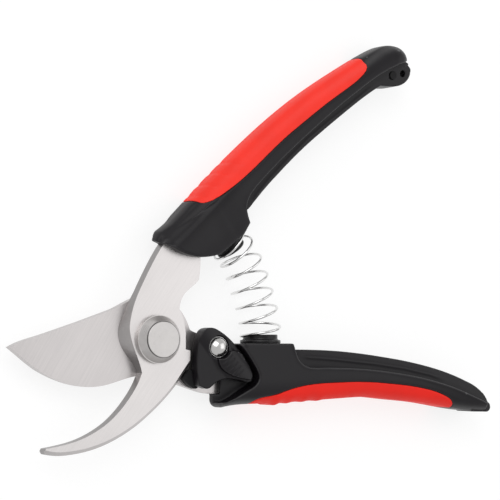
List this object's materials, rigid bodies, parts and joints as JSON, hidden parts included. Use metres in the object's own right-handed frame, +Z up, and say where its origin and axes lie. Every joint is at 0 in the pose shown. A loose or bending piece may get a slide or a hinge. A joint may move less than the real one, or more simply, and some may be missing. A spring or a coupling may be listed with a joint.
{
  "type": "pruning shears",
  "caption": "Bypass pruning shears lying open, with a hooked counter blade, a wide cutting blade, a coil spring, a thumb latch and black handles with red soft inlays.",
  "frame": {"origin": "middle of the footprint of the shears lying open on one side, on the plane they rest on", "axes": "+X towards the end of the lower handle, +Y towards the upper handle, +Z up along the pivot bolt, towards its head"},
  "size_m": [0.1998, 0.1492, 0.018],
  "materials": {
    "hook_steel": "brushed",
    "blade_steel": "brushed",
    "bolt_steel": "satin",
    "spring_wire": "polished",
    "black_plastic": "satin",
    "red_soft": "matt",
    "black_rubber": "matt"
  },
  "bodies": {
    "upper": {"hook_blade": "hook_steel", "pivot_bolt": "bolt_steel", "pivot_washer": "bolt_steel", "pivot_nut": "bolt_steel", "upper_handle_shell": "black_plastic", "upper_handle_liner": "black_plastic", "upper_grip": "red_soft", "upper_spring_seat": "black_plastic", "upper_end_rivet": "black_plastic"},
    "lower": {"cutting_blade": "blade_steel", "lower_handle_shell": "black_plastic", "lower_handle_liner": "black_plastic", "lower_grip": "red_soft", "lower_spring_seat": "black_plastic", "stop_bumper": "black_rubber", "latch_rivet": "spring_wire", "latch_washer": "bolt_steel", "latch_wave_washer": "spring_wire", "coil_spring": "spring_wire"},
    "latch": {"thumb_latch": "black_plastic"}
  },
  "joints": [
    {"name": "main_pivot", "type": "hinge", "parent": "upper", "child": "lower", "pos_m": [-0.04587, -0.0356, 0.009], "axis": [0, 0, 1], "range_deg": [0, 36], "stiffness_Nm_per_rad": 0.6, "springref_deg": -20.05, "deforming": ["coil_spring"]},
    {"name": "latch_pivot", "type": "hinge", "parent": "lower", "child": "latch", "pos_m": [-0.02267, -0.0383, 0.014], "axis": [0, 0, 1], "range_deg": [-36, 0]}
  ],
  "couplings": [
    {"joint": "latch_pivot", "follows": "main_pivot", "ratio": -1}
  ]
}
